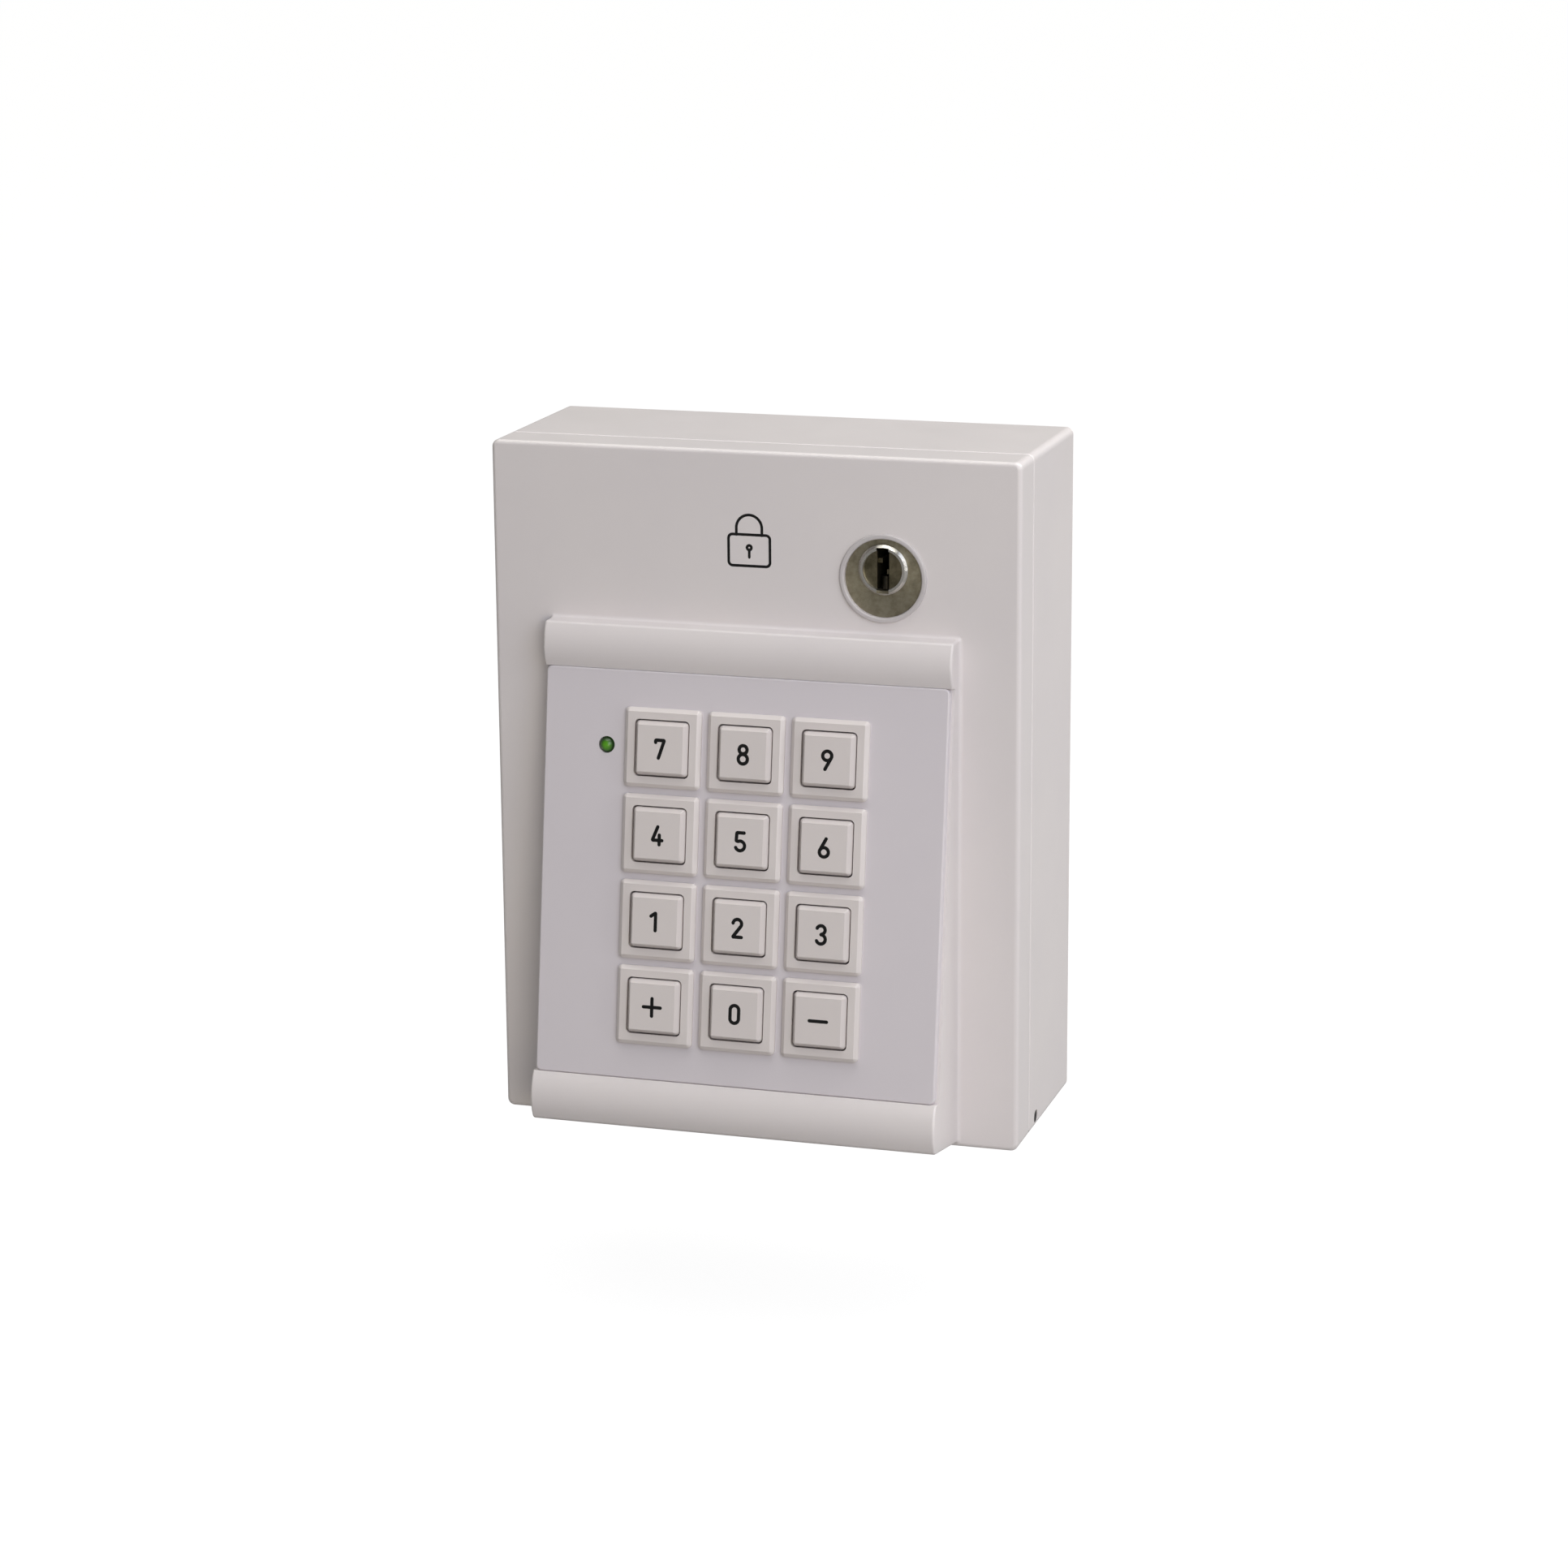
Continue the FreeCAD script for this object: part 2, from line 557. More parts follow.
def front_cover():
    """Cover shell, moulded in one with the console: two rolls, two cheeks and a seat."""
    cover = new_body("front_cover")
    outer = new_sketch(cover, "cover_outer", "XZ_Plane", COVER_BACK)
    add_box(outer, f"-{HALF_W}", HALF_W, f"-{HALF_H}", HALF_H)
    add_pad(cover, outer, "dims.cover_depth")
    back, front = -value(COVER_BACK), -value("dims.box_depth")
    dress(cover, "Fillet", "dims.side_round", lambda b: near(b.YLength, back - front))
    dress(cover, "Fillet", "dims.front_round", lambda b: near(b.YMin, front) and near(b.YMax, front))
    dress(cover, "Fillet", "dims.rim_round", lambda b: near(b.YMin, back) and near(b.YMax, back))

    side = new_sketch(cover, "console_side", "YZ_Plane")
    add_outline(side, console_outline())
    add_pad(cover, side, "dims.console_width", both_ways=True)
    top, half = value(CONSOLE_TOP), value("dims.console_width / 2")
    foot = value(ROLL_FOOT[1])
    dress(cover, "Fillet", "dims.roll_top_round", lambda b: near(b.XLength, 2 * half)
          and near(b.ZMax, top) and b.YMax < front - 1)
    dress(cover, "Fillet", "dims.roll_foot_round", lambda b: near(b.XLength, 2 * half)
          and near(b.ZMax, foot) and near(b.ZMin, foot))

    seat = value(on_slope(SEAT, "0")[1])
    seat_foot = value(on_slope(f"-{SEAT}", "0")[1])

    def on_side(b):
        return near(b.XLength, 0) and near(abs(b.XMin), half)

    def at_front(b):
        return near(b.YMin, front) and near(b.YMax, front)

    def roll_end(b):
        upper = b.ZMin > seat - 1 and b.ZLength > 5
        lower = b.ZMax < seat_foot + 1 and b.ZLength > 5
        return on_side(b) and not at_front(b) and (upper or lower)

    dress(cover, "Fillet", "dims.console_round", roll_end)
    dress(cover, "Fillet", "dims.console_root", lambda b: at_front(b) and (
        on_side(b) or near(b.XMax, half) and near(b.XMin, -half) and near(b.ZMax, top)))
    hollow_cover(cover)
    add_lip(cover)
    add_hinge_ears(cover)

    hole = new_sketch(cover, "lock_hole", "XZ_Plane", "dims.box_depth")
    add_circle(hole, "dims.lock_x", LOCK_Z, "dims.lock_radius + dims.thread_gap")
    add_pocket(cover, hole, "dims.wall")
    post = new_sketch(cover, "tamper_stop", "XZ_Plane", f"{BASE_DEPTH} - dims.tamper_reach + dims.thread_gap")
    add_circle(post, "dims.tamper_x", "dims.tamper_z", "2 * dims.tamper_radius")
    add_pad(cover, post, f"{COVER_SKIN} - {BASE_DEPTH} + dims.tamper_reach")
    return keep(cover)


def hollow_cover(cover):
    """The cavity behind the flat front, the room behind the plate and the cored rolls."""
    cavity = new_sketch(cover, "cover_cavity", "XZ_Plane", COVER_BACK)
    add_box(cavity, f"-{INNER_W}", INNER_W, f"-{INNER_H}", INNER_H)
    add_pocket(cover, cavity, "dims.cover_depth - dims.wall", reverse=True)

    inside = f"(-{COVER_SKIN} + {PAST})"
    edge = f"{SEAT} - dims.plate_ledge"
    rib = f"{SEAT} + dims.plate_ledge / 2"
    upper_edge = on_slope(edge, "-dims.plate_thickness / 2")
    lower_edge = on_slope(f"-({edge})", "-dims.plate_thickness / 2")
    room = [upper_edge, (inside, upper_edge[1]), (inside, lower_edge[1]), lower_edge]
    upper_rib = on_slope(rib, "-dims.wall - dims.plate_proud")
    upper_core = [upper_rib, on_slope(f"{SEAT} + dims.upper_roll - dims.wall", "dims.roll_crown - dims.wall"),
                  (inside, f"{CONSOLE_TOP} - dims.wall"), (inside, upper_rib[1])]
    lower_rib = on_slope(f"-({rib})", "-dims.wall")
    lower_core = [lower_rib,
                  on_slope(f"-({SEAT} + dims.lower_roll - dims.wall)", "-dims.wall - dims.roll_tuck"),
                  (inside, f"{CONSOLE_FOOT} + dims.wall + {PAST}"), (inside, lower_rib[1])]
    for name, outline in (("plate_room", room), ("upper_core", upper_core), ("lower_core", lower_core)):
        sketch = new_sketch(cover, name, "YZ_Plane")
        add_outline(sketch, outline)
        add_pocket(cover, sketch, "dims.console_width - 2 * dims.wall", both_ways=True)


EAR_INSIDE = f"({INNER_W} - dims.ear_gap - dims.ear_width)"


def add_lip(cover):
    """A lip along the top and both sides that closes the parting line from inside."""
    lip = new_sketch(cover, "lip", "XZ_Plane", f"{COVER_BACK} - dims.lip_depth")
    out_x, out_z = f"({INNER_W} - dims.lip_gap)", f"({INNER_H} - dims.lip_gap)"
    in_x, in_z = f"({out_x} - dims.lip_thickness)", f"({out_z} - dims.lip_thickness)"
    low = f"{HINGE_Z} + 3 * {EAR_RADIUS}"
    add_outline(lip, [(f"-{out_x}", low), (f"-{out_x}", out_z), (out_x, out_z), (out_x, low),
                      (in_x, low), (in_x, in_z), (f"-{in_x}", in_z), (f"-{in_x}", low)])
    add_pad(cover, lip, f"dims.lip_depth + dims.cover_depth - dims.wall / 2")


def add_hinge_ears(cover):
    """Two ears on the cover's lower corners, bored for the hinge pins."""
    for side, start in (("left", f"-({INNER_W} - dims.ear_gap)"), ("right", EAR_INSIDE)):
        eye = new_sketch(cover, f"{side}_ear_eye", "YZ_Plane", start)
        add_circle(eye, f"-{HINGE_Y}", HINGE_Z, EAR_RADIUS)
        arm = new_sketch(cover, f"{side}_ear_arm", "YZ_Plane", start)
        low, high = f"{HINGE_Z} - {EAR_RADIUS}", f"{HINGE_Z} + {EAR_RADIUS}"
        add_box(arm, f"-({COVER_SKIN} + 1)", f"-{HINGE_Y}", low, high)
        add_pad(cover, arm, "dims.ear_width")
        add_pad(cover, eye, "dims.ear_width")
        bore = new_sketch(cover, f"{side}_ear_bore", "YZ_Plane", start)
        add_circle(bore, f"-{HINGE_Y}", HINGE_Z, "dims.hinge_radius")
        add_pocket(cover, bore, "dims.ear_width", reverse=True)


# ---- keypad: plate, twelve switches with their caps, board and lamp ----

KEYS = [["7", "8", "9"], ["4", "5", "6"], ["1", "2", "3"], ["plus", "0", "minus"]]


def key_places():
    """Each key's name with its x and its place along the slope, from the grid's middle."""
    for row, names in enumerate(KEYS):
        for column, name in enumerate(names):
            yield name, f"({column - 1}) * dims.key_pitch", f"({1.5 - row}) * dims.key_pitch"


def add_square(sketch, half, x="0", y="0"):
    add_box(sketch, f"{x} - {half}", f"{x} + {half}", f"{y} - {half}", f"{y} + {half}")


LAMP_X = "(dims.grid_x - dims.key_pitch - dims.lamp_offset)"
LAMP_UP = "(1.5 * dims.key_pitch)"


def keypad_plate():
    plate = new_body("keypad_plate")
    outer = new_sketch(plate, "plate_outer", "XY_Plane")
    half = "(dims.console_width / 2 - dims.plate_margin)"
    add_box(outer, f"-{half}", half, "-dims.plate_length / 2", "dims.plate_length / 2")
    add_pad(plate, outer, "dims.plate_thickness", reverse=True)
    thick = value("dims.plate_thickness")
    dress(plate, "Fillet", "dims.plate_corner", lambda b: near(b.ZLength, thick))
    dress(plate, "Fillet", "dims.rim_round", lambda b: near(b.ZMin, 0) and near(b.ZMax, 0))
    holes = new_sketch(plate, "plate_holes", "XY_Plane")
    for _, x, along in key_places():
        add_square(holes, f"({SWITCH_HALF} + dims.seat_gap)", f"dims.grid_x + {x}", along)
    add_circle(holes, LAMP_X, LAMP_UP, "dims.lamp_radius + dims.lamp_gap")
    add_pocket(plate, holes, "dims.plate_thickness")
    return keep(place_on_plate(plate))


def key_bezel(name, x, along):
    """Switch body with its square frame, snapped into the plate."""
    bezel = new_body(f"key_bezel_{name}")
    frame = new_sketch(bezel, f"frame_{name}", "XY_Plane")
    add_square(frame, BEZEL_HALF)
    add_pad(bezel, frame, "dims.bezel_rise")
    rise = value("dims.bezel_rise")
    dress(bezel, "Fillet", "dims.bezel_corner", lambda b: near(b.ZLength, rise))
    dress(bezel, "Chamfer", "dims.bezel_edge", lambda b: near(b.ZMin, rise) and near(b.ZMax, rise))
    housing = new_sketch(bezel, f"switch_{name}", "XY_Plane")
    add_square(housing, SWITCH_HALF)
    add_pad(bezel, housing, "dims.switch_depth", reverse=True)
    well = new_sketch(bezel, f"well_{name}", "XY_Plane", "dims.bezel_rise")
    add_square(well, CAP_OPENING)
    add_pocket(bezel, well, "dims.bezel_rise + dims.switch_depth - dims.switch_floor")
    reach = value("dims.bezel_rise + dims.switch_depth - dims.switch_floor")
    dress(bezel, "Fillet", "dims.cap_corner + dims.cap_gap / 2", lambda b: near(b.ZLength, reach))
    return keep(place_on_plate(bezel, f"dims.grid_x + {x}", along))


def key_cap(name, x, along):
    """Square cap with sloped sides, hollow underneath for its spring."""
    cap = new_body(f"key_cap_{name}")
    outer = new_sketch(cap, f"cap_{name}", "XY_Plane", "-dims.cap_skirt")
    add_square(outer, "dims.cap_size / 2")
    add_pad(cap, outer, "dims.cap_rise + dims.cap_skirt")
    top = value("dims.cap_rise")
    dress(cap, "Fillet", "dims.cap_corner", lambda b: b.ZLength > top)
    slope = dress(cap, "Chamfer", "dims.cap_slope_height", lambda b: near(b.ZMin, top) and near(b.ZMax, top))
    slope.ChamferType = "Two distances"
    slope.setExpression("Size2", "dims.cap_slope")
    hollow = new_sketch(cap, f"hollow_{name}", "XY_Plane", "-dims.cap_skirt")
    add_square(hollow, "(dims.cap_size / 2 - dims.cap_wall)")
    add_pocket(cap, hollow, "dims.cap_skirt + dims.cap_rise - dims.cap_roof", reverse=True)
    return keep(place_on_plate(cap, f"dims.grid_x + {x}", along))


def spacer_places():
    """Board spacers, level with the gaps between the key rows, clear of the lamp."""
    for x in (f"-({KEYPAD_BOARD_HALF} - dims.spacer_inset)", f"({KEYPAD_BOARD_HALF} - dims.spacer_inset)"):
        for along in ("-dims.key_pitch", "dims.key_pitch"):
            yield x, along


def keypad_board():
    """Printed board that carries the twelve switches, held behind the plate."""
    board = new_body("keypad_board")
    outer = new_sketch(board, "keypad_board_outer", "XY_Plane", "-dims.switch_depth")
    end = "(dims.plate_length / 2 - dims.board_short)"
    add_box(outer, f"-{KEYPAD_BOARD_HALF}", KEYPAD_BOARD_HALF, f"-{end}", end)
    add_pad(board, outer, "dims.board_thickness", reverse=True)
    holes = new_sketch(board, "keypad_board_holes", "XY_Plane", "-dims.switch_depth")
    for _, x, along in key_places():
        for side in ("-", "+"):
            add_circle(holes, f"dims.grid_x + {x} {side} dims.pin_spread", f"{along} - dims.pin_drop",
                       "dims.pin_radius + dims.thread_gap")
    for x, along in spacer_places():
        add_circle(holes, x, along, "dims.small_screw + dims.thread_gap")
    for side in ("-", "+"):
        add_circle(holes, f"{LAMP_X} {side} dims.lead_spread", LAMP_UP, "dims.lead_radius + dims.thread_gap")
    add_pocket(board, holes, "dims.board_thickness")
    return keep(place_on_plate(board))


def keypad_hardware():
    """What is soldered or screwed to the keypad board, drawn flat and laid on the slope."""
    pins = []
    for name, x, along in key_places():
        for side, tag in (("-", "left"), ("+", "right")):
            pins.append(rod(f"pin_{name}_{tag}", f"dims.grid_x + {x} {side} dims.pin_spread",
                            f"{along} - dims.pin_drop", "-dims.switch_depth - dims.pin_length",
                            "dims.pin_radius", "dims.pin_length", UPWARD))
    keep(place_on_plate(group("switch_pins", *pins)))

    spacers, screws = [], []
    back = "-dims.switch_depth"
    for i, (x, along) in enumerate(spacer_places(), start=1):
        length = "dims.switch_depth - dims.plate_thickness"
        post = rod(f"spacer_{i}", x, along, back, "dims.spacer_radius", length, UPWARD)
        bore = rod(f"spacer_bore_{i}", x, along, back, "dims.small_screw + dims.thread_gap", length, UPWARD)
        spacers.append(cut(f"bored_spacer_{i}", post, bore))
        rear = f"{back} - dims.board_thickness"
        shank = rod(f"spacer_shank_{i}", x, along, rear, "dims.small_screw", "dims.screw_grip", UPWARD)
        head = rod(f"spacer_head_{i}", x, along, f"{rear} - dims.screw_head", "2 * dims.small_screw",
                   "dims.screw_head", UPWARD)
        screws.append(fuse(f"spacer_screw_{i}", shank, head))
    keep(place_on_plate(group("board_spacers", *spacers)))
    keep(place_on_plate(group("spacer_screws", *screws)))

    rear = f"({back} - dims.board_thickness)"
    middle = "(-dims.key_pitch - dims.pin_drop)"
    header = box("header_block", "-dims.header_width / 2", f"{middle} - dims.header_height / 2",
                 f"{rear} - dims.header_rise", "dims.header_width / 2",
                 f"{middle} + dims.header_height / 2", rear)
    keep(place_on_plate(group("keypad_header", header)))

    lamp_foot = "-dims.lamp_depth"
    stem = rod("lamp_stem", LAMP_X, LAMP_UP, lamp_foot, "dims.lamp_radius",
               "dims.lamp_depth - dims.lamp_sink", UPWARD)
    dome = doc.addObject("Part::Sphere", "lamp_dome")
    dome.setExpression("Radius", "dims.lamp_radius")
    place(dome, LAMP_X, LAMP_UP, "-dims.lamp_sink")
    flange = rod("lamp_foot_flange", LAMP_X, LAMP_UP, lamp_foot, "dims.lamp_radius + dims.lamp_flange",
                 "dims.lamp_flange_depth", UPWARD)
    keep(place_on_plate(fuse("status_led", stem, dome, flange)))
    leads = [rod(f"lamp_lead_{i}", f"{LAMP_X} {side} dims.lead_spread", LAMP_UP, rear, "dims.lead_radius",
                 "dims.switch_depth + dims.board_thickness - dims.lamp_depth", UPWARD)
             for i, side in enumerate("-+", start=1)]
    keep(place_on_plate(group("led_leads", *leads)))


def key_springs():
    """Twelve coil springs, each drawn as long as it is under a key pressed home."""
    floor = value("-dims.switch_depth + dims.switch_floor")
    top = value("dims.cap_rise - dims.cap_roof - dims.key_travel - dims.thread_gap")
    wire = value("dims.spring_wire")
    radius = value("dims.spring_radius")
    height = top - floor - 2 * wire
    helix = Part.makeHelix(height / value("dims.spring_turns"), height, radius)
    section = Part.Wire([Part.Edge(Part.Circle(Vector(radius, 0, 0), Vector(0, 1, 0), wire))])
    coil = Part.Wire(helix.Edges).makePipeShell([section], True, True)
    coils = []
    for _, x, along in key_places():
        one = coil.copy()
        one.translate(Vector(value(f"dims.grid_x + {x}"), value(along), floor + wire))
        coils.append(one)
    springs = doc.addObject("Part::Feature", "key_springs")
    springs.Shape = Part.makeCompound(coils)
    keep(place_on_plate(springs))


# ---- lock ----

# Pins of different lengths, as a cut key needs them; the first stands nearest the front.
TUMBLER_LENGTHS = ("2.9", "2.2", "2.6", "1.9", "2.4")


def lock_pieces():
    """Cylinder with an eccentric plug, held by a nut; the plug turns a cam behind a keep."""
    at = ("dims.lock_x", f"-{LOCK_FACE}", LOCK_Z)
    ring_front = ("dims.lock_x", "-(dims.box_depth + dims.trim_rise)", LOCK_Z)
    ring = rod("ring_outer", *ring_front, "dims.lock_radius + dims.trim_width", "dims.trim_rise")
    ring_hole = rod("ring_hole", *ring_front, "dims.lock_radius + dims.thread_gap", "dims.trim_rise")
    ring = cut("ring_cut", ring, ring_hole)
    lip = -value("dims.box_depth + dims.trim_rise")
    keep(round_edges("lock_trim_ring", ring, "dims.rim_round",
                     lambda b: near(b.YMin, lip) and near(b.YMax, lip)))

    barrel = rod("barrel", *at, "dims.lock_radius", "dims.lock_length")
    plug_bore = rod("plug_bore", "dims.lock_x", f"-{LOCK_FACE}", PLUG_Z, "dims.plug_radius + dims.plug_gap",
                    "dims.lock_length")
    keep(cut("lock_cylinder", barrel, plug_bore))

    nut = doc.addObject("Part::Prism", "nut_blank")
    nut.Polygon = 6
    nut.setExpression("Circumradius", "(dims.lock_radius + dims.nut_wall) / cos(30)")
    nut.setExpression("Height", "dims.nut_thickness")
    place(nut, "dims.lock_x", f"-{COVER_SKIN}", LOCK_Z, *TO_WALL)
    nut_bore = rod("nut_bore", "dims.lock_x", f"-{COVER_SKIN}", LOCK_Z,
                   "dims.lock_radius + dims.thread_gap", "dims.nut_thickness")
    keep(cut("lock_nut", nut, nut_bore))

    rim_face = f"({LOCK_FACE} + dims.plug_rim_depth)"
    rim = rod("plug_rim_disc", "dims.lock_x", f"-{rim_face}", PLUG_Z, "dims.plug_rim",
              "dims.plug_rim_depth - dims.plug_rim_gap")
    rim_front = -value(rim_face)
    rim = bevel_edges("plug_rim_bevel", rim, "dims.plug_bevel", lambda b: near(b.YMin, rim_front)
                      and near(b.YMax, rim_front))
    dish = rod("plug_dish_cut", "dims.lock_x", f"-{rim_face}", PLUG_Z, "dims.plug_rim - dims.plug_lip",
               "dims.plug_dish")
    core = rod("plug_core", "dims.lock_x", f"-({LOCK_FACE} + dims.plug_rim_depth / 2)", PLUG_Z,
               "dims.plug_radius", f"{LOCK_FACE} + dims.plug_rim_depth / 2 - {LOCK_TAIL}")
    slot_end = f"-({LOCK_FACE} - dims.keyway_depth)"
    left, right = "dims.lock_x - dims.keyway_width / 2", "dims.lock_x + dims.keyway_width / 2"
    slot = box("keyway", left, f"-({rim_face} + {PAST})", f"{PLUG_Z} - dims.keyway_foot", right, slot_end,
               f"{PLUG_Z} + dims.keyway_top")
    ward_front = f"-({LOCK_FACE} - dims.ward_recess)"
    left_foot = f"({PLUG_Z} + dims.left_ward_up)"
    left_ward = box("left_ward", left, ward_front, left_foot, f"{left} + dims.ward_reach", slot_end,
                    f"{left_foot} + dims.ward_height")
    right_foot = f"({PLUG_Z} - dims.right_ward_down)"
    right_ward = box("right_ward", f"{right} - dims.ward_reach", ward_front, right_foot, right, slot_end,
                     f"{right_foot} + dims.ward_height")
    screw_bore = rod("cam_screw_bore", "dims.lock_x", f"-({LOCK_TAIL} + dims.cam_screw_grip)", PLUG_Z,
                     "dims.cam_screw_radius + dims.thread_gap", "dims.cam_screw_grip")
    slotted = cut("plug_slotted", fuse("plug_blank", rim, core), slot, dish, screw_bore)
    keep(fuse("lock_plug", slotted, left_ward, right_ward))

    tumblers = []
    for i, length in enumerate(TUMBLER_LENGTHS):
        y = f"-({LOCK_FACE} - dims.tumbler_first - {i} * dims.tumbler_pitch)"
        tumblers.append(rod(f"tumbler_{i}", "dims.lock_x", y, f"{PLUG_Z} - dims.tumbler_foot",
                            "dims.tumbler_radius", length, UPWARD))
    keep(group("lock_pins", *tumblers))

    blade = box("cam_blade", "dims.lock_x - dims.cam_reach", f"-{LOCK_TAIL}",
                f"{PLUG_Z} - dims.cam_width / 2", "dims.lock_x + dims.cam_width / 2",
                f"-({LOCK_TAIL} - dims.cam_thickness)", f"{PLUG_Z} + dims.cam_width / 2")
    thick = value("dims.cam_thickness")
    blade = round_edges("cam_rounded", blade, "dims.cam_corner", lambda b: near(b.YLength, thick))
    eye = rod("cam_eye", "dims.lock_x", f"-{LOCK_TAIL}", PLUG_Z, "dims.cam_screw_radius + dims.thread_gap",
              "dims.cam_thickness")
    keep(cut("lock_cam", blade, eye))
    held = "(dims.cam_screw_grip - dims.cam_screw_short)"
    shank = rod("cam_shank", "dims.lock_x", f"-({LOCK_TAIL} + {held})", PLUG_Z,
                "dims.cam_screw_radius", f"{held} + dims.cam_thickness")
    head = rod("cam_head", "dims.lock_x", f"-({LOCK_TAIL} - dims.cam_thickness)", PLUG_Z,
               "dims.cam_head", "dims.cam_head_rise")
    keep(fuse("cam_screw", shank, head))

    hook_back = f"-({LOCK_TAIL} + dims.keep_gap)"
    hook_foot = f"{LOCK_Z} + dims.lock_radius + dims.keep_clear"
    sides = ("dims.lock_x - dims.keep_width / 2", "dims.lock_x + dims.keep_width / 2")
    hook = box("keep_hook", sides[0], f"{hook_back} - dims.keep_thickness", hook_foot,
               sides[1], hook_back, INNER_H)
    foot = box("keep_foot", sides[0], f"{hook_back} - dims.keep_thickness",
               f"{INNER_H} - dims.keep_thickness", sides[1], f"{hook_back} + dims.keep_foot", INNER_H)
    keep(fuse("lock_keep", hook, foot))


# ---- hinge pins, tamper switch and what sits in the base ----

def hinge_pins():
    length = f"{HALF_W} - dims.hinge_pin_recess - {EAR_INSIDE}"
    at = (f"-{HINGE_Y}", HINGE_Z, "dims.hinge_radius", length, TO_RIGHT)
    left = rod("left_hinge_pin", f"-({HALF_W} - dims.hinge_pin_recess)", *at)
    right = rod("right_hinge_pin", EAR_INSIDE, *at)
    keep(group("hinge_pins", left, right))


def tamper_switch():
    """Switch on the base's post; its plunger is held in by the closed cover."""
    half_w, half_h = "dims.tamper_width / 2", "dims.tamper_height / 2"
    body = box("tamper_body", f"dims.tamper_x - {half_w}", f"-{TAMPER_FRONT}", f"dims.tamper_z - {half_h}",
               f"dims.tamper_x + {half_w}", f"-{TAMPER_BACK}", f"dims.tamper_z + {half_h}")
    guide = rod("tamper_bore", "dims.tamper_x", f"-{TAMPER_FRONT}", "dims.tamper_z",
                "dims.tamper_radius + dims.tamper_gap", "dims.tamper_guide")
    keep(cut("tamper_switch", body, guide))
    tip = f"({BASE_DEPTH} - dims.tamper_reach)"
    keep(rod("tamper_plunger", "dims.tamper_x", f"-{tip}", "dims.tamper_z", "dims.tamper_radius",
             f"{tip} - {TAMPER_FRONT} + dims.tamper_grip"))


def board_corner(side, end):
    x = f"{side}(dims.board_width / 2 - dims.board_inset)"
    return x, f"dims.board_z + {end}(dims.board_height / 2 - dims.board_inset)"


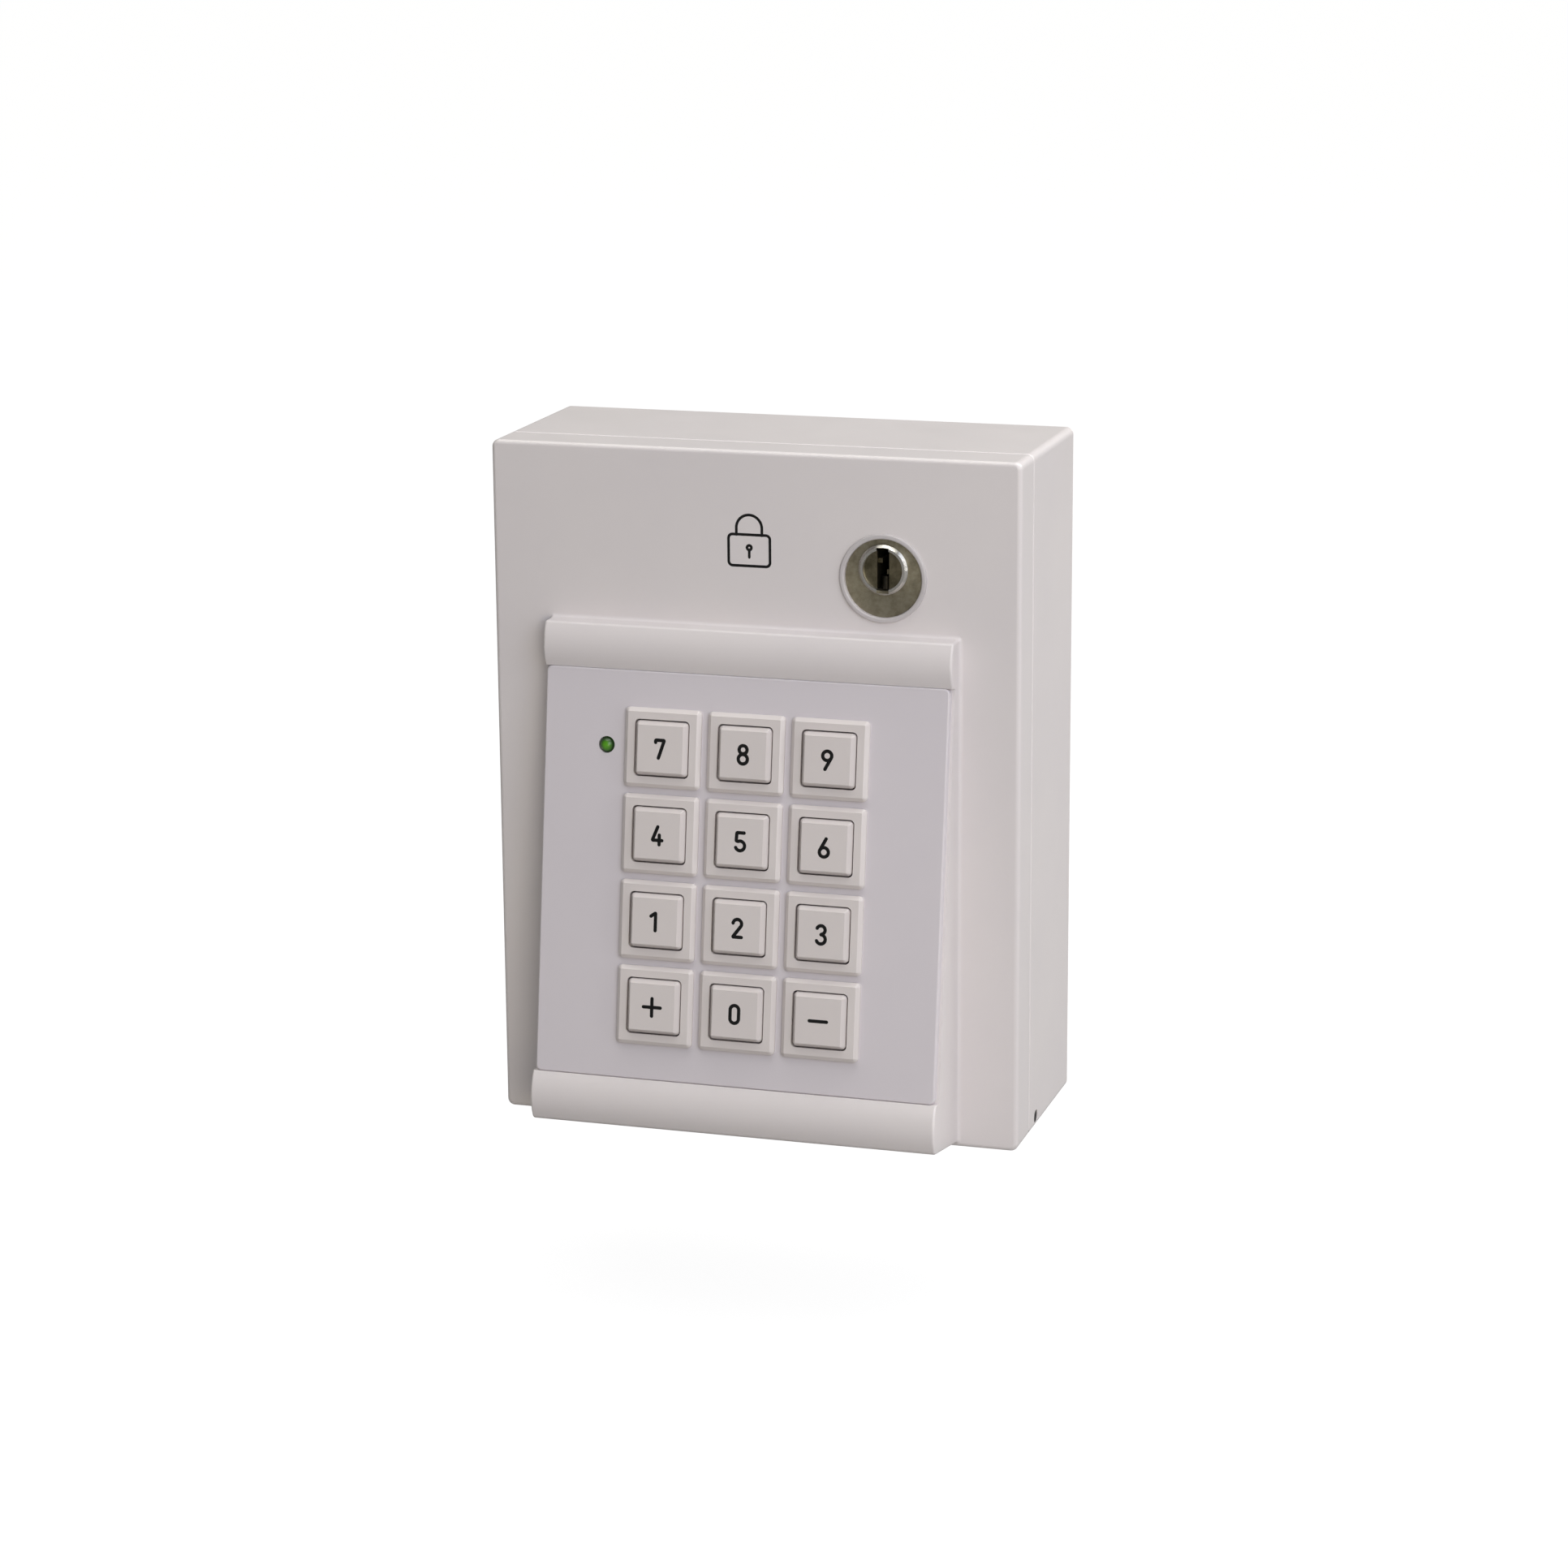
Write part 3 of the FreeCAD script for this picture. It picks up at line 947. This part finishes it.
def terminal_board():
    """Printed board on the base's standoffs, with its screws and what it carries."""
    half_w, half_h = "dims.board_width / 2", "dims.board_height / 2"
    blank = box("terminal_blank", f"-{half_w}", f"-{BOARD_FRONT}", f"dims.board_z - {half_h}", half_w,
                f"-{BOARD_BACK}", f"dims.board_z + {half_h}")
    holes, screws = [], []
    corners = [board_corner(side, end) for side in ("-", "") for end in ("-", "")]
    for i, (x, z) in enumerate(corners, start=1):
        holes.append(rod(f"board_hole_{i}", x, f"-{BOARD_FRONT}", z, "dims.small_screw + dims.thread_gap",
                         "dims.board_thickness"))
        head = rod(f"board_head_{i}", x, f"-({BOARD_FRONT} + dims.screw_head)", z, "2 * dims.small_screw",
                   "dims.screw_head")
        shank = rod(f"board_shank_{i}", x, f"-{BOARD_FRONT}", z, "dims.small_screw",
                    "dims.screw_grip")
        screws.append(fuse(f"board_screw_{i}", head, shank))
    keep(cut("terminal_board", blank, *holes))
    keep(group("board_screws", *screws))

    half = "(dims.terminals * dims.terminal_pitch / 2 + dims.terminal_end)"
    high = f"(dims.board_z + {half_h} - dims.terminal_margin)"
    low = f"({high} - dims.terminal_height)"
    face = f"-({BOARD_FRONT} + dims.terminal_rise)"
    block = box("terminal_body", f"-{half}", face, low, half, f"-{BOARD_FRONT}", high)
    wells, entries, clamps = [], [], []
    for i in range(int(value("dims.terminals"))):
        x = f"({i} - (dims.terminals - 1) / 2) * dims.terminal_pitch"
        middle = f"{low} + dims.well_rise"
        wells.append(rod(f"screw_well_{i}", x, face, middle, "dims.terminal_well", "dims.well_depth"))
        clamps.append(rod(f"clamp_screw_{i}", x, f"{face} + dims.clamp_depth", middle,
                          "dims.terminal_well - dims.clamp_gap", "dims.well_depth - dims.clamp_depth"))
        entries.append(rod(f"wire_entry_{i}", x, f"-({BOARD_FRONT} + dims.entry_rise)",
                           f"{high} - dims.entry_depth", "dims.entry_radius", "dims.entry_depth", UPWARD))
    keep(cut("terminal_block", block, *wells, *entries))
    keep(group("terminal_screws", *clamps))

    keep(board_block("relay", "dims.relay_x", "dims.board_z - dims.buzzer_drop", "dims.relay_width",
                     "dims.relay_height", "dims.relay_rise"))
    keep(board_block("control_chip", "0", "dims.board_z - dims.chip_drop", "dims.chip_width",
                     "dims.chip_height", "dims.chip_rise"))
    keep(board_block("board_header", "0", "dims.board_z + dims.header_up", "dims.header_width",
                     "dims.header_height", "dims.header_rise"))
    sounder_front = f"-({BOARD_FRONT} + dims.buzzer_rise)"
    sounder_z = "dims.board_z - dims.buzzer_drop"
    can = rod("buzzer_can", "dims.buzzer_x", sounder_front, sounder_z,
              "dims.buzzer_radius", "dims.buzzer_rise")
    port = rod("buzzer_port_cut", "dims.buzzer_x", sounder_front, sounder_z, "dims.buzzer_port",
               "dims.port_depth")
    keep(cut("buzzer", can, port))


def board_block(name, x, z, width, height, rise):
    """A plain block on the terminal board's front, round a middle."""
    return box(name, f"{x} - {width} / 2", f"-({BOARD_FRONT} + {rise})", f"{z} - {height} / 2",
               f"{x} + {width} / 2", f"-{BOARD_FRONT}", f"{z} + {height} / 2")


def cable_grommet():
    """Rubber bush in the back's cable inlet, set just inside the wall face."""
    neck_back = f"(dims.wall + dims.grommet_lip / 2)"
    neck = rod("grommet_neck", "0", f"-{neck_back}", "dims.inlet_z", "dims.inlet_radius - dims.thread_gap",
               f"{neck_back} - dims.grommet_recess")
    lip_back = "(dims.wall + dims.grommet_lip)"
    lip = rod("grommet_lip_disc", "0", f"-{lip_back}", "dims.inlet_z",
              "dims.grommet_flange", "dims.grommet_lip")
    bore = rod("grommet_hole", "0", f"-{lip_back}", "dims.inlet_z", "dims.grommet_bore", lip_back)
    keep(cut("cable_grommet", fuse("grommet_blank", neck, lip), bore))


# ---- build, check and write ----

base_housing()
front_cover()
keypad_plate()
for key_name, key_x, key_along in key_places():
    key_bezel(key_name, key_x, key_along)
    key_cap(key_name, key_x, key_along)
keypad_board()
keypad_hardware()
key_springs()
lock_pieces()
hinge_pins()
tamper_switch()
terminal_board()
cable_grommet()
doc.recompute()

for item in doc.Objects:
    if "Invalid" in item.State or "Error" in item.State:
        raise RuntimeError(f"{item.Label} failed: {item.State}")
for piece in pieces:
    if piece.Shape.isNull() or not piece.Shape.isValid():
        raise RuntimeError(f"{piece.Label} has no valid shape")

os.makedirs("parts", exist_ok=True)
for piece in pieces:
    piece.Shape.exportStep(f"parts/{piece.Label}.step")
    print(f"{piece.Label}: {len(piece.Shape.Solids)} solid(s), {piece.Shape.Volume:.1f} mm3")
